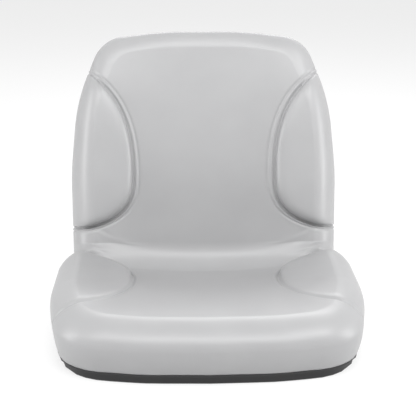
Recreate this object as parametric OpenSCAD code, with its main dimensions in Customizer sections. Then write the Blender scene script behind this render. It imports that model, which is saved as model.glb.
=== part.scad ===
// Tractor seat: one-piece high-back bucket seat with a formed vinyl cover over
// moulded foam on a pressed steel pan. Front faces -Y, the back leans to +Y, up is +Z.
// Millimetres. The pan stands on z = 0; the origin is the centre of the bolt pattern.

/* [Overall] */
// width over the side bolsters
overall_w = 500; // [460:5:540]
// flat length of the cushion, front edge to the start of the bend
seat_len = 305; // [285:5:325]
// length of the backrest above the bend
back_len = 361; // [330:1:390]
// radius of the bend between cushion and backrest
bend_r = 105; // [95:1:120]
// angle between cushion and backrest, 90 is upright
back_angle = 77; // [70:1:84]

/* [Cushion] */
// height of the front lip above the cover's hem
lip_h = 79; // [70:1:88]
// cushion thickness at the crease
crease_h = 54; // [48:1:60]
// thickness of the lower back
lumbar_h = 60; // [54:1:66]
// thickness at the top of the back
top_h = 44; // [40:1:50]
// height of the widest line on the front wall
wall_h = 42; // [36:1:48]
// how far the side of the cover tucks in towards the hem
tuck = 9; // [6:0.5:12]

/* [Bolsters] */
// rise of the back bolsters above the panel at their lower end
back_rise = 20; // [14:1:24]
// rise of the seat bolsters above the cushion at their rear end
seat_rise = 18; // [12:1:22]
// depth of the seam round each bolster
seam_d = 2.5; // [1:0.25:3.5]
// how far a seam reaches to each side
seam_w = 6; // [4:0.5:8]
// distance over which a bolster rises from its seam
shoulder = 6.5; // [4:0.5:9]

/* [Cover and foam] */
// thickness of the vinyl skin
skin_t = 2; // [1.5:0.1:2.5]
// gap left between foam, skin and pan
gap = 0.15; // [0.1:0.05:0.4]
// how far the skin turns in under the pan's flange
hem_turn = 4; // [2:0.5:6]

/* [Pan] */
// depth of the pan below the cover's hem
pan_depth = 18; // [15:1:22]
// sheet thickness of the pan
sheet_t = 1.6; // [1.2:0.1:2]
// width of the flange that the skin is turned round
flange_w = 4.5; // [3:0.5:8]
// how far the pan's wall runs in from flange to floor
wall_run = 2.5; // [1:0.5:10]
// radius of the bend between the pan's wall and floor
press_r = 2; // [1:0.25:4]
// height the stiffening ribs stand out
rib_h = 5; // [3:0.5:7]
// distance of the outer ribs from the middle
rib_x = 120; // [100:5:140]
// thickness of the hem strip
strip_h = 3.4; // [2:0.2:5]

/* [Mounting] */
// bolt spacing side to side
bolt_x = 292.1; // [254:0.1:300]
// bolt spacing front to back
bolt_y = 203.2; // [180:0.1:210]
// front edge of the cushion to the front bolts
front_reach = 57; // [50:1:65]
// radius of the bolt holes and of the weld nut bores
bolt_r = 4.25; // [3.75:0.05:4.75]
// height of a weld nut
nut_h = 6.5; // [5:0.5:8]
// width across flats of a weld nut
nut_af = 14; // [13:0.5:16]
// radius of the seat switch opening
switch_r = 17; // [14:0.5:20]
// radius of the drain holes
drain_r = 4; // [3:0.25:5]
// distance of the drain holes from the middle
drain_x = 60; // [50:1:75]
// depth of the foam pocket over the seat switch
pocket_h = 26; // [20:1:32]

/* [Hidden] */
$fn = 48;

kx = overall_w / 500;
arc = bend_r * back_angle * PI / 180;
s_end = seat_len + arc + back_len;
// the drawing below is laid out on a nominal spine; sm() carries it to the real one
S0 = 305;
S1 = 446;
S2 = 807;
function sm(v) =
  v < S0 ? v * seat_len / S0 :
  v < S1 ? seat_len + (v - S0) * arc / (S1 - S0) :
  seat_len + arc + (v - S1) * back_len / (S2 - S1);

// spine: flat cushion, round bend, straight back; h is measured square to it
y_front = -bolt_y / 2 - front_reach - (seat_len - S0) / 2;
function turn(s) = min(max((s - seat_len) / bend_r, 0) * 180 / PI, back_angle);
function place(x, s, h) =
  let (t = turn(s), d = max(s - seat_len - arc, 0))
  [x,
   y_front + min(s, seat_len) + bend_r * sin(t) + d * cos(back_angle) - sin(t) * h,
   pan_depth + bend_r * (1 - cos(t)) + d * sin(back_angle) + cos(t) * h];

function smooth(a, b, x) = let (t = min(1, max(0, (x - a) / (b - a)))) t * t * (3 - 2 * t);
function knots(k, s, i = 0) =
  i + 1 >= len(k) ? k[len(k) - 1][1] :
  s < sm(k[i + 1][0]) ?
    k[i][1] + (k[i + 1][1] - k[i][1]) * smooth(sm(k[i][0]), sm(k[i + 1][0]), s) :
  knots(k, s, i + 1);

// rounded outlines of one half, front centre to top centre: x, s, corner radius
OUTER = [[0, 0, 0], [105, 4, 300], [229, 30, 135], [252, 160, 400], [248, 303, 46],
         [225, 338, 30], [229, 565, 500], [218, 688, 320], [173.5, S2 - 12, 62],
         [70, S2, 600], [0, S2, 0]];
CREST = [[0, 46, 0], [110, 50, 400], [188, 72, 72], [207, 165, 300], [207, 268, 150],
         [196, 345, 200], [184, 480, 200], [187, 600, 300], [178, 690, 200],
         [146, S2 - 38, 44], [70, S2 - 28, 400], [0, S2 - 28, 0]];
function fitted(p) = [for (q = p) [q[0] * kx, sm(q[1]), q[2] * kx]];
function xy(p) = [p[0], p[1]];
function unit(v) = v / norm(v);
function bend_of(p, i) =
  let (p0 = xy(p[i - 1]), p1 = xy(p[i]), p2 = xy(p[i + 1]),
       d0 = unit(p0 - p1), d2 = unit(p2 - p1),
       half = acos(max(-1, min(1, d0 * d2))) / 2,
       lim = 0.49 * min(norm(p0 - p1), norm(p2 - p1)),
       t = min(p[i][2] / tan(half), lim),
       r = t * tan(half),
       c = p1 + unit(d0 + d2) * r / sin(half),
       a = p1 + d0 * t,
       b = p1 + d2 * t,
       a0 = atan2(a[1] - c[1], a[0] - c[0]),
       a1 = atan2(b[1] - c[1], b[0] - c[0]),
       turn0 = a1 - a0,
       da = turn0 > 180 ? turn0 - 360 : turn0 < -180 ? turn0 + 360 : turn0)
  [a, b, c, r, a0, da];
// a track is a list of straight and round pieces with their running lengths
function track(p) =
  let (n = len(p),
       bends = [for (i = [1 : n - 2]) bend_of(p, i)],
       parts = [for (i = [0 : 2 * n - 4])
         i % 2 == 1 ? bends[(i - 1) / 2] :
         [i == 0 ? xy(p[0]) : bends[i / 2 - 1][1],
          i == 2 * n - 4 ? xy(p[n - 1]) : bends[i / 2][0]]],
       lens = [for (q = parts) len(q) == 2 ? norm(q[1] - q[0]) : abs(q[5]) * q[3] * PI / 180],
       runs = [for (i = 0, s = 0; i <= len(parts); s = s + (i < len(parts) ? lens[i] : 0), i = i + 1) s])
  [parts, lens, runs];
function along(tr, t) =
  let (u = max(0, min(t, tr[2][len(tr[2]) - 1])),
       k = max([for (i = [0 : len(tr[0]) - 1]) if (tr[2][i] <= u + 1e-9) i]),
       q = tr[0][k],
       d = u - tr[2][k])
  len(q) == 2 ? q[0] + (q[1] - q[0]) * d / max(tr[1][k], 1e-6) :
  let (th = q[4] + q[5] * d / max(tr[1][k], 1e-6)) q[2] + q[3] * [cos(th), sin(th)];

// mesh sizes [across, along]: FINE for what shows, COARSE for what lies under it
FINE = [32, 60];
COARSE = [16, 30];
function once(g) = 2 * (g[0] + g[1]);
function mirrored(p, left) = left ? [-p[0], p[1]] : p;
// the four sides of a half outline made whole: front, right, top, left
function sides(p, g) =
  let (tr = track(fitted(p)),
       tf = tr[2][3] + tr[1][3] / 2,
       tk = 2 * (len(p) - 3) - 1,
       tt = tr[2][tk] + tr[1][tk] / 2,
       te = tr[2][len(tr[2]) - 1],
       across = [for (i = [0 : g[0]]) let (u = i / g[0]) 2 * (u - 0.3 * sin(360 * u) / (2 * PI)) - 1],
       upward = [for (j = [0 : g[1]]) let (v = j / g[1]) v + 0.27 * sin(360 * v) / (2 * PI)])
  [[for (a = across) mirrored(along(tr, abs(a) * tf), a < 0)],
   [for (v = upward) along(tr, tf + (tt - tf) * v)],
   [for (a = across) mirrored(along(tr, te - abs(a) * (te - tt)), a < 0)],
   [for (v = upward) mirrored(along(tr, tf + (tt - tf) * v), true)]];
function loop_of(c, g) = concat(
  [for (i = [0 : g[0] - 1]) c[0][i]],
  [for (j = [0 : g[1] - 1]) c[1][j]],
  [for (i = [0 : g[0] - 1]) c[2][g[0] - i]],
  [for (j = [0 : g[1] - 1]) c[3][g[1] - j]]);

// bolsters: rounded fields with a seam line round them; centre x, centre s,
// half width, half length below and above, and how square each end is
BACK_POD = [262, 560, 142, 91, 190, 2.7, 2.3];
SEAT_POD = [275, 258, 155, 160, 70, 2.7, 2.4];
// distance inside the seam and the direction that leads inwards
function pod(x, s, q) =
  let (low = s < sm(q[1]),
       b = low ? sm(q[1]) - sm(q[1] - q[3]) : sm(q[1] + q[4]) - sm(q[1]),
       p = low ? q[5] : q[6],
       a = q[2] * kx,
       fx = max((q[0] * kx - abs(x)) / a, 1e-4),
       fs = max(abs(s - sm(q[1])) / b, 1e-4),
       f = pow(pow(fx, p) + pow(fs, p), 1 / p),
       gx = pow(fx / f, p - 1) / a,
       gs = pow(fs / f, p - 1) / b,
       g = norm([gx, gs]))
  [(1 - f) / g, gx / g, (low ? 1 : -1) * gs / g];
// mesh points near a seam are drawn on to it
REACH = 11;
function drawn(p, q, share) =
  let (d = pod(p[0], p[1], q),
       w = abs(d[0]) < REACH ? sign(d[0]) * REACH * pow(abs(d[0]) / REACH, 3) - d[0] : 0,
       k = share * w)
  [p[0] + sign(p[0]) * d[1] * k, p[1] + d[2] * k];
function onto_seams(p, share = 1) =
  abs(p[0]) < 60 * kx ? p : drawn(drawn(p, BACK_POD, share), SEAT_POD, share);

// the cushion's face above the hem level: its broad form, then bolsters and seams
function broad(x, s) =
  knots([[-20, lip_h - 1], [70, lip_h], [320, crease_h], [480, lumbar_h - 2],
         [560, lumbar_h], [860, top_h]], s)
    + knots([[40, 0], [250, 8], [390, 18], [500, 10], [700, 10], [830, 2]], s)
      * pow(min(abs(x) / (150 * kx), 1.45), 2.2);
function lift(d, top) = top * (1 - exp(-max(d, 0) / shoulder));
function seam(d) = -seam_d * (1 - smooth(seam_w / 4, seam_w, abs(d)));
function detail(x, s) =
  let (db = pod(x, s, BACK_POD)[0],
       ds = pod(x, s, SEAT_POD)[0],
       tb = knots([[480, back_rise], [620, back_rise * 0.6], [760, back_rise * 0.35]], s),
       ts = knots([[190, seat_rise * 0.28], [300, seat_rise]], s))
  lift(db, tb) + lift(ds, ts) + seam(db) + seam(ds);
// the lowest of the detail round a point, so that a coarse mesh stays under a fine one
LOOK = [for (a = [-2 : 2]) for (b = [-2 : 2]) [a, b] * 8];
function lowest(x, s) = abs(x) < 90 * kx ? 0 : min([for (q = LOOK) detail(x + q[0], s + q[1])]);
function face(x, s, fine) = broad(x, s) + (fine ? detail(x, s) : lowest(x, s));
function widest(s) = knots([[40, wall_h], [220, wall_h + 18], [314, wall_h + 18], [360, wall_h - 8]], s);
function over(u) = pow(1 - pow(1 - min(u, 1), 1.6), 1 / 1.6);

// patch between the four sides of the crest line
function patch_at(c, i, j, g) =
  let (u = i / g[0], v = j / g[1], n = g[0])
  (1 - v) * c[0][i] + v * c[2][i] + (1 - u) * c[3][j] + u * c[1][j]
    - (1 - u) * (1 - v) * c[0][0] - u * (1 - v) * c[0][n]
    - (1 - u) * v * c[2][0] - u * v * c[2][n];
// a layout holds the mesh size, the points of the face, its edge loop, the outer loop
// and the direction inwards
function layout(g) =
  let (fine = g == FINE,
       // the coarse outline keeps further in at the hollow of the neck
       line = [for (q = OUTER) q[1] == 338 && !fine ? q - [4, 0, 0] : q],
       c = sides(CREST, g), e = loop_of(c, g), o = loop_of(sides(line, g), g))
  [g,
   [for (i = [0 : g[0]]) for (j = [0 : g[1]])
     let (p = patch_at(c, i, j, g)) fine ? onto_seams(p) : p],
   e, o, [for (m = [0 : once(g) - 1]) unit(e[m] - o[m])]];
fine_lay = layout(FINE);
coarse_lay = layout(COARSE);
function is_fine(l) = l[0] == FINE;
function face_points(l, k) = [for (p = l[1]) place(p[0], p[1], face(p[0], p[1], is_fine(l)) - k)];
// rings round the face: over the crest, down the wall, and on a level
function roll_ring(l, u, k) =
  [for (m = [0 : once(l[0]) - 1])
    let (p0 = l[3][m] + l[4][m] * k * (1 - u) + (l[2][m] - l[3][m]) * u,
         p = is_fine(l) ? onto_seams(p0, u) : p0,
         w = widest(p[1]))
    place(p[0], p[1], w + (face(p[0], p[1], is_fine(l)) - k - w) * over(u))];
function wall_ring(l, inset, share) =
  [for (m = [0 : once(l[0]) - 1])
    let (p = l[3][m] + l[4][m] * inset) place(p[0], p[1], widest(p[1]) * share)];
function flat_ring(inset, h, l = coarse_lay) =
  [for (m = [0 : once(l[0]) - 1]) let (p = l[3][m] + l[4][m] * inset) place(p[0], p[1], h)];
function joined(rings) = [for (r = rings) for (p = r) p];

// faces, clockwise seen from outside
// each cell is split along the diagonal that keeps to one level, so that seams stay clean
function field_faces(at, l, flip = false) =
  let (g = l[0], n = g[1] + 1, h = [for (p = l[1]) detail(p[0], p[1])])
  [for (i = [0 : g[0] - 1]) for (j = [0 : g[1] - 1]) for (k = [0, 1])
    let (a = i * n + j, b = a + n, c = b + 1, d = a + 1,
         rise = abs(h[a] - h[c]) - abs(h[b] - h[d]),
         ac = abs(rise) < 0.05 ? i < g[0] / 2 : rise < 0,
         t = ac ? (k == 0 ? [a, d, c] : [a, c, b]) : (k == 0 ? [a, d, b] : [b, d, c]),
         q = [at, at, at] + t)
    flip ? [q[0], q[2], q[1]] : q];
function edge_index(at, g) =
  let (f = function(i, j) at + i * (g[1] + 1) + j)
  concat([for (i = [0 : g[0] - 1]) f(i, 0)], [for (j = [0 : g[1] - 1]) f(g[0], j)],
         [for (i = [0 : g[0] - 1]) f(g[0] - i, g[1])], [for (j = [0 : g[1] - 1]) f(0, g[1] - j)]);
function ring_index(at, k, g = COARSE) = [for (m = [0 : once(g) - 1]) at + k * once(g) + m];
// band between two rings, the first one nearer the middle of the face
function band(a, b) =
  let (n = len(a))
  len(b) * 2 == n ?
    [for (m = [0 : len(b) - 1])
      let (a0 = a[2 * m], a1 = a[2 * m + 1], a2 = a[(2 * m + 2) % n], b0 = b[m], b1 = b[(m + 1) % len(b)])
      each [[a0, a1, b0], [a1, b1, b0], [a1, a2, b1]]] :
  [for (m = [0 : n - 1]) let (q = (m + 1) % n) each [[a[m], b[q], b[m]], [a[m], a[q], b[q]]]];
function bands(list) = [for (i = [0 : len(list) - 2]) each band(list[i], list[i + 1])];
// closes a coarse ring on the pan's floor with strips from side to side
function floor_faces(r, flip = false) =
  let (na = COARSE[0], nb = COARSE[1], n = once(COARSE),
       strips = [for (j = [0 : nb - 1])
         [r[na + j], r[na + j + 1], r[(n - j - 1) % n], r[(n - j) % n]]],
       ends = [[for (m = [0 : na]) r[m]], [for (m = [0 : na]) r[na + nb + m]]])
  [for (f = concat(strips, ends)) flip ? [for (i = [len(f) - 1 : -1 : 0]) f[i]] : f];

HEM = tuck + skin_t;
FLANGE_TOP = skin_t + 0.2 + sheet_t;
FLANGE_IN = HEM + flange_w;
FLOOR_IN = FLANGE_IN + wall_run;
BEND_IN = max(FLOOR_IN - press_r, FLANGE_IN + 0.2);

// formed vinyl skin, turned in under the pan's flange at the hem
module vinyl_cover() {
  outer = concat(
    [for (u = [0.8, 0.6, 0.4, 0.22, 0.08, 0]) roll_ring(fine_lay, u, 0)],
    [wall_ring(fine_lay, tuck * 0.12, 0.66), wall_ring(fine_lay, tuck * 0.45, 0.33),
     flat_ring(tuck, skin_t, fine_lay)]);
  inner = concat(
    [flat_ring(tuck + 1, 0), flat_ring(HEM + hem_turn, 0), flat_ring(HEM + hem_turn, skin_t),
     flat_ring(HEM, skin_t), wall_ring(coarse_lay, tuck * 0.3 + skin_t, 0.5)],
    [for (u = [0, 0.14, 0.4, 0.7]) roll_ring(coarse_lay, u, skin_t)]);
  n1 = len(fine_lay[1]);
  n2 = n1 + len(outer) * once(FINE);
  n3 = n2 + len(inner) * once(COARSE);
  color([0.60, 0.60, 0.61])
  polyhedron(
    concat(face_points(fine_lay, 0), joined(outer), joined(inner), face_points(coarse_lay, skin_t)),
    concat(field_faces(0, fine_lay),
      bands(concat([edge_index(0, FINE)],
        [for (i = [0 : len(outer) - 1]) ring_index(n1, i, FINE)],
        [for (i = [0 : len(inner) - 1]) ring_index(n2, i)],
        [edge_index(n3, COARSE)])),
      field_faces(n3, coarse_lay, true)));
}

// one moulded bun filling the skin and the pan
module foam_cushion() {
  n = len(coarse_lay[1]);
  g = skin_t + gap;
  rings = concat(
    [for (u = [0.7, 0.4, 0.14, 0]) roll_ring(coarse_lay, u, g)],
    [wall_ring(coarse_lay, tuck * 0.3 + g, 0.5), flat_ring(HEM + gap, FLANGE_TOP + gap),
     flat_ring(FLANGE_IN + sheet_t + gap, FLANGE_TOP + gap),
     flat_ring(BEND_IN + sheet_t + gap, press_r + sheet_t - pan_depth),
     flat_ring(FLOOR_IN + sheet_t + gap, sheet_t + gap - pan_depth)]);
  order = concat([edge_index(0, COARSE)], [for (i = [0 : len(rings) - 1]) ring_index(n, i)]);
  color([0.90, 0.84, 0.66])
  difference() {
    polyhedron(
      concat(face_points(coarse_lay, g), joined(rings)),
      concat(field_faces(0, coarse_lay), bands(order), floor_faces(order[len(rings)])));
    // pockets for the nuts with the bolt ends, and for the seat switch
    at_bolts() translate([0, 0, sheet_t - 1]) cylinder(r = nut_af / 2 + 4, h = nut_h + 9);
    translate([0, 0, sheet_t - 1]) cylinder(r = switch_r + 4, h = pocket_h);
  }
}

// pressed steel pan: flange, sloping wall, flat floor, one piece up the back
module seat_pan() {
  rings = [
    flat_ring(HEM + gap, FLANGE_TOP),
    flat_ring(HEM + gap, FLANGE_TOP - sheet_t),
    flat_ring(FLANGE_IN, FLANGE_TOP - sheet_t),
    flat_ring(BEND_IN, press_r - pan_depth),
    flat_ring(FLOOR_IN, -pan_depth),
    flat_ring(FLOOR_IN + sheet_t * 0.4, sheet_t - pan_depth),
    flat_ring(BEND_IN + sheet_t, press_r + sheet_t * 0.4 - pan_depth),
    flat_ring(FLANGE_IN + sheet_t, FLANGE_TOP)];
  order = [for (i = [0 : 4]) ring_index(0, i)];
  inner = [ring_index(0, 5), ring_index(0, 6), ring_index(0, 7), ring_index(0, 0)];
  color([0.12, 0.12, 0.13])
  difference() {
    union() {
      polyhedron(joined(rings),
        concat(bands(order), floor_faces(order[4]),
               bands(inner), floor_faces(inner[0], true)));
      for (x = RIBS) rib(x, 0);
      for (x = CHANNELS) channel(x, 0);
    }
    for (x = RIBS) rib(x, sheet_t);
    for (x = CHANNELS) channel(x, sheet_t);
    at_bolts() translate([0, 0, -1]) cylinder(r = bolt_r, h = sheet_t + 2);
    translate([0, 0, -1]) cylinder(r = switch_r, h = sheet_t + 2);
    for (x = [-1, 1]) translate([x * drain_x, bolt_y / 2 + 3 * drain_r, -1]) cylinder(r = drain_r, h = sheet_t + 2);
  }
}
// ribs pressed outwards over the bend and up the back; k cuts the hollow behind
RIBS = [-rib_x, 0, rib_x];
module rib(x, k) {
  stations = concat([[330, 0], [344, 1]], [for (i = [1 : 7]) [342 + i * 13, 1]],
                    [[S1 + 6, 1], [688, 1], [704, 0]]);
  base = k + 1 - pan_depth;
  half = [for (q = stations) let (s = sm(q[0]), deep = (q[1] > 0 ? -rib_h : 0.4) + k - pan_depth)
    [place(x - 15 + k, s, base), place(x - 9 + k, s, deep),
     place(x + 9 - k, s, deep), place(x + 15 - k, s, base)]];
  n = len(stations);
  polyhedron(joined(half), concat(
    [[3, 2, 1, 0], [for (i = [0 : 3]) 4 * (n - 1) + i]],
    [for (q = [0 : n - 2]) for (i = [0 : 3]) for (c = [0, 1])
      let (a = 4 * q + i, b = 4 * q + (i + 1) % 4, d = a + 4, e = b + 4)
      c == 0 ? [a, e, d] : [a, b, e]]));
}
// channels pressed upwards in the floor, open below
CHANNELS = [-88 * kx, 88 * kx];
module channel(x, k) {
  top = rib_h + 1 - (k > 0 ? sheet_t : 0);
  low = k > 0 ? -1 : 0.4;
  w = 17 - k;
  l = 88 - k;
  p = [for (q = [[w, l, low], [w - 6, l - 8, top]]) for (c = [[-1, -1], [1, -1], [1, 1], [-1, 1]])
    [x + c[0] * q[0], c[1] * q[1], q[2]]];
  polyhedron(p, [[0, 1, 2, 3], [7, 6, 5, 4], [0, 4, 5, 1], [1, 5, 6, 2], [2, 6, 7, 3], [3, 7, 4, 0]]);
}

// moulded strip that holds the turned-in hem against the flange
module edge_strip() {
  rings = [flat_ring(tuck - 0.8, -gap), flat_ring(tuck - 0.4, -strip_h),
           flat_ring(HEM + hem_turn, -strip_h), flat_ring(HEM + hem_turn, -gap)];
  order = [for (i = [0 : 4]) ring_index(0, i % 4)];
  color([0.07, 0.07, 0.07])
  polyhedron(joined(rings), bands(order));
}

module at_bolts() {
  for (x = [-1, 1]) for (y = [-1, 1]) translate([x * bolt_x / 2, y * bolt_y / 2, 0]) children();
}
// hexagon weld nuts on the inside of the floor
module weld_nuts() {
  color([0.62, 0.62, 0.60])
  at_bolts() difference() {
    translate([0, 0, sheet_t]) cylinder(r = nut_af / 2 / cos(30), h = nut_h, $fn = 6);
    cylinder(r = bolt_r, h = sheet_t + nut_h + 1);
  }
}

vinyl_cover();
foam_cushion();
seat_pan();
edge_strip();
weld_nuts();
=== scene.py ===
"""Looks for the tractor seat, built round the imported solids.

The vinyl cover is one formed skin. It is drawn flat first, as a pattern: u runs across
the seat, v from the front edge over the crease to the top, and the third coordinate
says how far over the edge a point lies (0 on the face, 1 at the widest line, 2 at the
hem). The pattern is then laid over the foam.
"""

import math

import bmesh
import bpy
import numpy as np
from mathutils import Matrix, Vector

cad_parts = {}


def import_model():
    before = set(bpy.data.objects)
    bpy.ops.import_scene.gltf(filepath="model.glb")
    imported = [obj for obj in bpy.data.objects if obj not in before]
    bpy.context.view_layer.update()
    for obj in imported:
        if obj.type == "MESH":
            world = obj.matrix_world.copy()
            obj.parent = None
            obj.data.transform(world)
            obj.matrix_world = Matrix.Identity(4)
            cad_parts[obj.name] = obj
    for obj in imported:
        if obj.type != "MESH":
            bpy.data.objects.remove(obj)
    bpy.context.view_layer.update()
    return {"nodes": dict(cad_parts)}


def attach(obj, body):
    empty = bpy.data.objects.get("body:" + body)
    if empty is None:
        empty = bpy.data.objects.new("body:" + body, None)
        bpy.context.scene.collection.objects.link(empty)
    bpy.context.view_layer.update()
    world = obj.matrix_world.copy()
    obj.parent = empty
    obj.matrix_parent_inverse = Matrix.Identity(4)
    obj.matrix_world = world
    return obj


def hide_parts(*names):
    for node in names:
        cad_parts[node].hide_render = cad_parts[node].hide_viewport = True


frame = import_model()
MM = 0.001

# the seat's sizes in millimetres, as the solids have them
SEAT_LEN = 305.0
BACK_LEN = 361.0
BEND_R = 105.0
BACK_ANGLE = math.radians(77)
ARC = BEND_R * BACK_ANGLE
TOP = SEAT_LEN + ARC + BACK_LEN
FRONT_Y = -158.6
PAN_DEPTH = 18.0
LIP_H, CREASE_H, LUMBAR_H, TOP_H, WALL_H = 79.0, 54.0, 60.0, 44.0, 42.0
BACK_RISE, SEAT_RISE = 20.0, 18.0
TUCK = 9.0
SKIN = 2.0
HEM_TURN = 5.4

# rounded outlines of the right half: x, s along the spine, corner radius
WIDEST_LINE = [(0, 0, 0), (105, 4, 300), (229, 30, 135), (252, 160, 400), (248, 303, 46),
               (225, 338, 30), (229, 565, 500), (218, 688, 320), (173.5, TOP - 12, 62),
               (70, TOP, 600), (0, TOP, 0)]
CREST_LINE = [(0, 46, 0), (110, 50, 400), (188, 72, 72), (207, 165, 300), (207, 268, 150),
              (196, 345, 200), (184, 480, 200), (187, 600, 300), (178, 690, 200),
              (146, TOP - 38, 44), (70, TOP - 28, 400), (0, TOP - 28, 0)]

# bolsters: centre x, centre s, half width, half length below and above, squareness of
# the lower and of the upper end
BACK_BOLSTER = (262, 560, 142, 91, 190, 2.7, 2.3)
SEAT_BOLSTER = (275, 258, 155, 160, 70, 2.7, 2.4)


def smooth(a, b, x):
    t = np.clip((x - a) / (b - a), 0, 1)
    return t * t * (3 - 2 * t)


def through(s, *stops):
    """A height that passes smoothly through (s, height) stops."""
    out = np.full(np.shape(s), float(stops[0][1]))
    for (s0, h0), (s1, h1) in zip(stops[:-1], stops[1:]):
        out = np.where(s >= s0, h0 + (h1 - h0) * smooth(s0, s1, s), out)
    return out


def bump(d, width):
    return np.exp(-((d / width) ** 2))


def laid(x, s, h):
    """Points h above the spine at s: flat cushion, round bend, leaning back."""
    turn = np.clip((s - SEAT_LEN) / BEND_R, 0, BACK_ANGLE)
    straight = np.maximum(s - SEAT_LEN - ARC, 0)
    y = FRONT_Y + np.minimum(s, SEAT_LEN) + BEND_R * np.sin(turn) + straight * math.cos(BACK_ANGLE)
    z = PAN_DEPTH + BEND_R * (1 - np.cos(turn)) + straight * math.sin(BACK_ANGLE)
    return np.stack([x, y - np.sin(turn) * h, z + np.cos(turn) * h], -1)


class Outline:
    """A half outline with rounded corners, walked by its length."""

    def __init__(self, corners):
        points = [np.array(c[:2], float) for c in corners]
        self.parts = []
        start = points[0]
        for before, at, after, corner in zip(points, points[1:], points[2:], corners[1:]):
            back = (before - at) / np.linalg.norm(before - at)
            on = (after - at) / np.linalg.norm(after - at)
            half = math.acos(np.clip(back @ on, -1, 1)) / 2
            room = 0.49 * min(np.linalg.norm(before - at), np.linalg.norm(after - at))
            reach = min(corner[2] / math.tan(half), room)
            radius = reach * math.tan(half)
            mid = at + (back + on) / np.linalg.norm(back + on) * radius / math.sin(half)
            first, last = at + back * reach, at + on * reach
            a0 = math.atan2(first[1] - mid[1], first[0] - mid[0])
            a1 = math.atan2(last[1] - mid[1], last[0] - mid[0])
            swing = (a1 - a0 + math.pi) % (2 * math.pi) - math.pi
            self.parts.append((np.linalg.norm(first - start), start, first, None))
            self.parts.append((abs(swing) * radius, mid, radius, (a0, swing)))
            start = last
        self.parts.append((np.linalg.norm(points[-1] - start), start, points[-1], None))
        self.runs = np.concatenate([[0], np.cumsum([p[0] for p in self.parts])])
        self.front_corner = (self.runs[3] + self.runs[4]) / 2
        self.top_corner = (self.runs[-5] + self.runs[-4]) / 2

    def at(self, run):
        run = np.clip(run, 0, self.runs[-1])
        which = np.clip(np.searchsorted(self.runs, run, side="right") - 1, 0, len(self.parts) - 1)
        out = np.zeros(run.shape + (2,))
        for k, (length, a, b, sweep) in enumerate(self.parts):
            here = which == k
            share = ((run[here] - self.runs[k]) / max(length, 1e-9))[:, None]
            if sweep is None:
                out[here] = a + (b - a) * share
            else:
                turn = sweep[0] + sweep[1] * share
                out[here] = a + b * np.concatenate([np.cos(turn), np.sin(turn)], 1)
        return out

    def front(self, u):
        p = self.at(np.abs(2 * u - 1) * self.front_corner)
        return p * np.stack([np.sign(2 * u - 1), np.ones_like(u)], -1)

    def side(self, v):
        return self.at(self.front_corner + (self.top_corner - self.front_corner) * v)

    def top(self, u):
        p = self.at(self.runs[-1] - np.abs(2 * u - 1) * (self.runs[-1] - self.top_corner))
        return p * np.stack([np.sign(2 * u - 1), np.ones_like(u)], -1)

    def rim(self, u, v):
        """The point of the outline for a point on the pattern's edge."""
        left = np.array([-1.0, 1.0])
        p = np.where((u < 0.5)[:, None], self.side(v) * left, self.side(v))
        p = np.where((v < 1e-6)[:, None], self.front(u), p)
        return np.where((v > 1 - 1e-6)[:, None], self.top(u), p)


crest, widest = Outline(CREST_LINE), Outline(WIDEST_LINE)


def spread(u, v):
    """The pattern is closer drawn at the sides and half way up."""
    return (u - 0.3 * np.sin(2 * np.pi * u) / (2 * np.pi),
            v + 0.27 * np.sin(2 * np.pi * v) / (2 * np.pi))


def on_face(u, v):
    """Pattern to the seat's face, x and s, from the four sides of the crest line."""
    zero, one = np.zeros_like(u), np.ones_like(u)
    left = np.array([-1.0, 1.0])
    side = crest.side(v)
    U, V = u[:, None], v[:, None]
    corner_front = crest.front(one)
    corner_top = crest.top(one)
    return ((1 - V) * crest.front(u) + V * crest.top(u) + (1 - U) * side * left + U * side
            - (1 - U) * (1 - V) * corner_front * left - U * (1 - V) * corner_front
            - (1 - U) * V * corner_top * left - U * V * corner_top)


def over_edge(u, v, q):
    """x and s of a pattern point: q is 0 on the face, 1 on the widest line, 2 at the hem."""
    u, v = spread(u, v)
    p = on_face(u, v)
    beyond = q > 1e-6
    e, o = crest.rim(u[beyond], v[beyond]), widest.rim(u[beyond], v[beyond])
    inward = (e - o) / np.linalg.norm(e - o, axis=1)[:, None]
    down = np.clip(q[beyond] - 1, 0, 1)[:, None]
    up = np.clip(1 - q[beyond], 0, 1)[:, None]
    turned_in = np.clip(q[beyond] - 2, 0, None)[:, None]
    p[beyond] = o + (e - o) * up + inward * (TUCK * down**2 + HEM_TURN * turned_in)
    return p[:, 0], p[:, 1]


def inside(x, s, shape):
    """How far inside a bolster's seam a point is, and how much the seam faces sideways there."""
    cx, cs, half, below, above, low_square, high_square = shape
    low = s < cs
    b = np.where(low, below, above)
    p = np.where(low, low_square, high_square)
    fx = np.maximum((cx - np.abs(x)) / half, 1e-6)
    fs = np.maximum(np.abs(s - cs) / b, 1e-6)
    f = (fx**p + fs**p) ** (1 / p)
    gx, gs = (fx / f) ** (p - 1) / half, (fs / f) ** (p - 1) / b
    g = np.sqrt(gx**2 + gs**2)
    return (1 - f) / g, gx / g, np.where(low, gs, -gs) / g


def rise(d, top, run):
    return top * (1 - np.exp(-np.maximum(d, 0) / run))


def form(x, s):
    """The face's height above the hem, without its seams."""
    h = through(s, (-20, LIP_H - 1), (70, LIP_H), (320, CREASE_H), (480, LUMBAR_H - 2),
                (560, LUMBAR_H), (860, TOP_H))
    dish = through(s, (40, 0), (250, 8), (390, 18), (500, 10), (700, 10), (830, 2))
    h = h + dish * np.minimum(np.abs(x) / 150, 1.45) ** 2.2
    d, across, _ = inside(x, s, BACK_BOLSTER)
    h = h + rise(d, through(s, (480, BACK_RISE), (620, BACK_RISE * 0.6), (760, BACK_RISE * 0.35)),
                 4.5 + 3 * across)
    d, across, _ = inside(x, s, SEAT_BOLSTER)
    return h + rise(d, through(s, (190, SEAT_RISE * 0.28), (300, SEAT_RISE)), 6.5)


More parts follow.
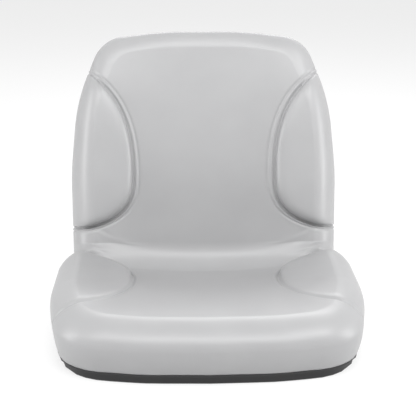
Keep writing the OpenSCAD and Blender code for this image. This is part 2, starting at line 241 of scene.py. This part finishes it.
def wall_height(s):
    return through(s, (40, WALL_H), (220, WALL_H + 18), (314, WALL_H + 18), (360, WALL_H - 8))


def skin_at(x, s, q):
    """Where the cover's broad form puts a pattern point."""
    wall = wall_height(s)
    roll = (1 - np.clip(q, 0, 1) ** 1.6) ** (1 / 1.6)
    h = np.where(q <= 1, wall + (form(x, s) - wall) * roll, wall * np.clip(2 - q, 0, 1))
    h = np.where(q > 1.6, np.maximum(h, 0.0), h)
    return laid(x, s, h)


def seams(x, s, q):
    """What is pressed into the skin along its own normal: a bead between two grooves."""
    right = x > 0
    d, across, up = inside(x, s, BACK_BOLSTER)
    wide = np.where(right, 11.5, 8.5)
    gap = 5.5 + (wide - 5.5) * across**2
    low = smooth(0.2, 0.9, up)
    h = -(2.4 + 1.4 * low) * bump(d, 2.0)
    h += 1.1 * bump(d + gap * 0.5, gap * 0.32)
    h -= 1.3 * bump(d + gap, 1.9)
    d, across, up = inside(x, s, SEAT_BOLSTER)
    rear = smooth(0.0, -0.7, up)
    h -= (1.5 + 1.3 * rear) * bump(d, 3.4 - 1.4 * rear)
    h += (0.7 + 0.3 * rear) * bump(d + 4.5, 2.2)
    return h * (1 - smooth(0.8, 1.35, q))


def puckers(x, s, q):
    """Soft gathers in the narrow neck between the bolsters."""
    ax = np.abs(x)
    h = np.zeros_like(x)
    for cx, cs, long, short, lean, high in ((186, 455, 20, 5, 1.25, 0.9), (166, 462, 26, 4, 0.5, -0.7),
                                            (150, 452, 30, 5, 0.45, 0.8), (196, 425, 13, 7, 1.5, 0.9),
                                            (178, 392, 30, 6, 0.9, -0.5)):
        along = (ax - cx) * math.cos(lean) + (s - cs) * math.sin(lean)
        across = (s - cs) * math.cos(lean) - (ax - cx) * math.sin(lean)
        h += high * bump(along, long) * bump(across, short)
    return h * (1 - smooth(0.5, 1.0, q))


# ---- meshes


def new_piece(name, bm, finish):
    """A finished bmesh as a piece that rides on the seat."""
    for face in bm.faces:
        face.smooth = True
    mesh = bpy.data.meshes.new(name)
    bm.to_mesh(mesh)
    bm.free()
    mesh.materials.append(finish)
    piece = bpy.data.objects.new(name, mesh)
    bpy.context.scene.collection.objects.link(piece)
    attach(piece, "root")
    return piece


def coordinates(bm):
    return np.array([v.co for v in bm.verts], float).reshape(-1, 3)


def put(bm, points):
    for vert, co in zip(bm.verts, points):
        vert.co = co


ACROSS, UPWARD = 150, 290
OVER_EDGE = [0.04, 0.09, 0.15, 0.22, 0.3, 0.38, 0.46, 0.54, 0.62, 0.7, 0.78, 0.85, 0.91, 0.96, 1.0,
             1.1, 1.25, 1.4, 1.55, 1.7, 1.82, 1.92, 1.97, 2.0, 2.1, 2.6, 3.1]


def cover_skin(finish):
    bm = bmesh.new()
    bmesh.ops.create_grid(bm, x_segments=ACROSS, y_segments=UPWARD, size=0.5)
    bmesh.ops.translate(bm, verts=bm.verts, vec=(0.5, 0.5, 0))
    rim = [e for e in bm.edges if e.is_boundary]
    for level in OVER_EDGE:
        grown = bmesh.ops.extrude_edge_only(bm, edges=rim)["geom"]
        rim = [e for e in grown if isinstance(e, bmesh.types.BMEdge) and e.is_boundary]
        for vert in {v for e in rim for v in e.verts}:
            vert.co.z = level
    # closer mesh along the seams
    flat = coordinates(bm)
    x, s = over_edge(flat[:, 0], flat[:, 1], flat[:, 2])
    back, seat = inside(x, s, BACK_BOLSTER)[0], inside(x, s, SEAT_BOLSTER)[0]
    near = ((back > -17) & (back < 7) | (seat > -10) & (seat < 7)) & (flat[:, 2] < 1.2)
    bm.verts.ensure_lookup_table()
    edges = [e for e in bm.edges if near[e.verts[0].index] and near[e.verts[1].index]]
    bmesh.ops.subdivide_edges(bm, edges=edges, cuts=1, use_grid_fill=True)
    flat = coordinates(bm)
    q = flat[:, 2]
    x, s = over_edge(flat[:, 0], flat[:, 1], q)
    put(bm, skin_at(x, s, q))
    bmesh.ops.recalc_face_normals(bm, faces=bm.faces)
    bm.normal_update()
    normals = np.array([v.normal for v in bm.verts])
    points = coordinates(bm)
    mid = len(points) // 2
    if (normals[:, 2] * (q < 0.01)).sum() < 0:
        bmesh.ops.reverse_faces(bm, faces=bm.faces)
        normals = -normals
    put(bm, (points + normals * (seams(x, s, q) + puckers(x, s, q))[:, None]) * MM)
    bm.normal_update()
    return new_piece("formed_vinyl_cover", bm, finish)


def merged_copy(node, name, finish, sharp=35, width=0.5):
    """A CAD node's shape with its bends and edges broken."""
    bm = bmesh.new()
    bm.from_mesh(frame["nodes"][node].data)
    bmesh.ops.remove_doubles(bm, verts=bm.verts, dist=1e-6)
    bmesh.ops.dissolve_limit(bm, angle_limit=math.radians(0.6), verts=bm.verts, edges=bm.edges)
    edges = [e for e in bm.edges if e.is_manifold and e.calc_face_angle() > math.radians(sharp)]
    bmesh.ops.bevel(bm, geom=edges, offset=width * MM, offset_type="OFFSET", affect="EDGES", segments=2,
                    profile=0.5, material=-1, clamp_overlap=True)
    piece = new_piece(name, bm, finish)
    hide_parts(node)
    return piece


# ---- finishes


class Amount:
    """A number that varies over a surface; arithmetic on it adds Math nodes."""

    def __init__(self, finish, socket):
        self.finish, self.socket = finish, socket

    def _with(self, operation, a, b):
        return self.finish.node("ShaderNodeMath", {"operation": operation}, {0: a, 1: b})

    def __add__(self, other):
        return self._with("ADD", self, other)

    def __mul__(self, other):
        return self._with("MULTIPLY", self, other)

    def __sub__(self, other):
        return self._with("SUBTRACT", self, other)

    def __rsub__(self, other):
        return self._with("SUBTRACT", other, self)

    def __pow__(self, other):
        return self._with("POWER", self, other)

    __radd__, __rmul__ = __add__, __mul__


class Finish:
    """A node material with one Principled shader."""

    def __init__(self, name):
        self.material = bpy.data.materials.new(name)
        self.material.use_nodes = True
        self.tree = self.material.node_tree
        self.shader = self.tree.nodes["Principled BSDF"]
        self.place = self.node("ShaderNodeTexCoord", {}, {}, "Object")

    def link(self, socket, value):
        if isinstance(value, Amount):
            self.tree.links.new(value.socket, socket)
        else:
            socket.default_value = value

    def node(self, kind, settings, inputs, output=0):
        made = self.tree.nodes.new(kind)
        for key, value in settings.items():
            if key == "stops":
                ramp = made.color_ramp
                ramp.elements[0].position, ramp.elements[0].color = value[0]
                ramp.elements[1].position, ramp.elements[1].color = value[-1]
                for position, colour in value[1:-1]:
                    ramp.elements.new(position).color = colour
            else:
                setattr(made, key, value)
        for key, value in inputs.items():
            self.link(made.inputs[key], value)
        return Amount(self, made.outputs[output])

    def noise(self, size_mm, detail=2.0, rough=0.5):
        return self.node("ShaderNodeTexNoise", {}, {"Vector": self.place, "Scale": 1000 / size_mm,
                                                   "Detail": detail, "Roughness": rough}, 0)

    def cells(self, size_mm, feature="F1", soft=0.0):
        settings = {"feature": feature}
        inputs = {"Vector": self.place, "Scale": 1000 / size_mm}
        if feature == "SMOOTH_F1":
            inputs["Smoothness"] = soft
        return self.node("ShaderNodeTexVoronoi", settings, inputs, "Distance")

    def between(self, share, dark, light):
        return self.node("ShaderNodeMix", {"data_type": "RGBA"}, {0: share, 6: dark, 7: light}, 2)

    def relief(self, height, depth_mm, strength=1.0):
        return self.node("ShaderNodeBump", {}, {"Height": height, "Distance": depth_mm * MM,
                                               "Strength": strength}, 0)

    def set(self, **values):
        for key, value in values.items():
            self.link(self.shader.inputs[key.replace("_", " ").title().replace("Ior", "IOR")], value)
        return self.material


def vinyl():
    f = Finish("satin vinyl")
    broad = f.noise(60, 3)
    fine = f.noise(0.35, 2, 0.6)
    grain = f.cells(0.9, "SMOOTH_F1", 0.6)
    colour = f.between(broad, (0.295, 0.295, 0.300, 1), (0.325, 0.325, 0.329, 1))
    return f.set(base_color=colour, roughness=0.33 + broad * 0.08 + fine * 0.03,
                 normal=f.relief(grain + fine * 0.5, 0.02, 0.6))


def powder_coat():
    f = Finish("black powder coat")
    peel = f.noise(1.3, 2)
    return f.set(base_color=f.between(f.noise(25, 3), (0.011, 0.011, 0.012, 1), (0.017, 0.017, 0.018, 1)),
                 roughness=0.42 + peel * 0.1, normal=f.relief(peel, 0.05, 0.5))


def strip_plastic():
    f = Finish("black strip plastic")
    skin = f.noise(0.8, 3)
    return f.set(base_color=f.between(skin, (0.012, 0.012, 0.013, 1), (0.018, 0.018, 0.019, 1)),
                 roughness=0.5 + skin * 0.12, normal=f.relief(skin, 0.04, 0.5))


def foam_rubber():
    f = Finish("cream foam")
    pores = f.cells(1.6, "F1")
    tone = f.noise(40, 4)
    colour = f.between(tone, (0.74, 0.66, 0.42, 1), (0.84, 0.77, 0.55, 1))
    return f.set(base_color=colour, roughness=0.85 + tone * 0.1, normal=f.relief(pores, 0.5, 0.7))


def zinc():
    f = Finish("zinc plated steel")
    spangle = f.noise(4, 3)
    return f.set(base_color=f.between(spangle, (0.50, 0.50, 0.49, 1), (0.62, 0.62, 0.60, 1)), metallic=1.0,
                 roughness=0.3 + spangle * 0.15, normal=f.relief(f.noise(0.5), 0.02, 0.4))


cover = cover_skin(vinyl())
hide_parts("vinyl_cover")

pan = merged_copy("seat_pan", "pressed_pan", powder_coat(), sharp=24, width=0.7)
strip = merged_copy("edge_strip", "hem_strip", strip_plastic(), sharp=40, width=0.8)
foam = merged_copy("foam_cushion", "foam_bun", foam_rubber(), sharp=50, width=1.2)
nuts = merged_copy("weld_nuts", "weld_nut_set", zinc(), sharp=40, width=0.5)

# ---- stage, light and camera


def light(name, size, azimuth, elevation, distance, power, aim=(0, 0.09, 0.25)):
    """A soft box seen from the seat at this azimuth (0 is the front, 90 the right) and elevation."""
    a, e = math.radians(azimuth), math.radians(elevation)
    lamp = bpy.data.lights.new(name, "AREA")
    lamp.shape, lamp.size, lamp.size_y, lamp.energy = "RECTANGLE", size[0], size[1], power
    holder = bpy.data.objects.new(name, lamp)
    bpy.context.scene.collection.objects.link(holder)
    out = Vector((math.sin(a) * math.cos(e), -math.cos(a) * math.cos(e), math.sin(e)))
    holder.location = Vector(aim) + out * distance
    holder.rotation_euler = (-out).to_track_quat("-Z", "Y").to_euler()
    return holder


def floor():
    bm = bmesh.new()
    bmesh.ops.create_grid(bm, x_segments=1, y_segments=1, size=8)
    mesh = bpy.data.meshes.new("studio_floor")
    bm.to_mesh(mesh)
    bm.free()
    ground = bpy.data.objects.new("studio_floor", mesh)
    bpy.context.scene.collection.objects.link(ground)
    f = Finish("pale floor")
    tree = f.tree
    f.set(base_color=(0.88, 0.88, 0.88, 1), roughness=0.9)
    path = tree.nodes.new("ShaderNodeLightPath")
    seen = Amount(f, path.outputs["Is Camera Ray"]) + Amount(f, path.outputs["Is Glossy Ray"]) + Amount(
        f, path.outputs["Is Transmission Ray"])
    glow = tree.nodes.new("ShaderNodeEmission")
    mix = tree.nodes.new("ShaderNodeMixShader")
    tree.links.new((seen * 0.72).socket, mix.inputs[0])
    tree.links.new(f.shader.outputs[0], mix.inputs[1])
    tree.links.new(glow.outputs[0], mix.inputs[2])
    tree.links.new(mix.outputs[0], tree.nodes["Material Output"].inputs[0])
    mesh.materials.append(f.material)


def world():
    sky = bpy.data.worlds.new("studio")
    bpy.context.scene.world = sky
    sky.use_nodes = True
    tree = sky.node_tree
    back = tree.nodes["Background"]
    path = tree.nodes.new("ShaderNodeLightPath")
    white = tree.nodes.new("ShaderNodeBackground")
    white.inputs["Strength"].default_value = 1.0
    white.inputs["Color"].default_value = (1, 1, 1, 1)
    back.inputs["Color"].default_value = (1, 1, 1, 1)
    back.inputs["Strength"].default_value = 0.42
    add = tree.nodes.new("ShaderNodeMath")
    add.operation = "MAXIMUM"
    tree.links.new(path.outputs["Is Camera Ray"], add.inputs[0])
    tree.links.new(path.outputs["Is Glossy Ray"], add.inputs[1])
    also = tree.nodes.new("ShaderNodeMath")
    also.operation = "MAXIMUM"
    tree.links.new(add.outputs[0], also.inputs[0])
    tree.links.new(path.outputs["Is Transmission Ray"], also.inputs[1])
    mix = tree.nodes.new("ShaderNodeMixShader")
    tree.links.new(also.outputs[0], mix.inputs[0])
    tree.links.new(back.outputs[0], mix.inputs[1])
    tree.links.new(white.outputs[0], mix.inputs[2])
    tree.links.new(mix.outputs[0], tree.nodes["World Output"].inputs[0])


floor()
world()
light("front_top_strip", (2.6, 0.42), -8, 51, 2.1, 42)
light("left_side_box", (0.5, 1.3), -84, 14, 1.9, 16)
light("right_side_box", (0.5, 1.3), 84, 10, 1.9, 16)
light("right_high_box", (0.5, 0.5), 55, 47, 2.1, 14)
light("rear_top_box", (1.8, 0.7), 170, 48, 2.2, 30)

view = bpy.data.cameras.new("photo_view")
view.lens, view.sensor_width = 110.86, 36
view.shift_x, view.shift_y = 0.00483, -0.03675
camera = bpy.data.objects.new("photo_view", view)
bpy.context.scene.collection.objects.link(camera)
elevation, azimuth = math.radians(16.68), math.radians(-1.58)
aim = Vector((0, 0.0914, 0.230))
out = Vector((math.sin(azimuth) * math.cos(elevation), -math.cos(azimuth) * math.cos(elevation),
              math.sin(elevation)))
camera.location = aim + out * 2.0796
camera.rotation_euler = (-out).to_track_quat("-Z", "Y").to_euler()
bpy.context.scene.camera = camera
bpy.context.scene.view_settings.view_transform = "Standard"
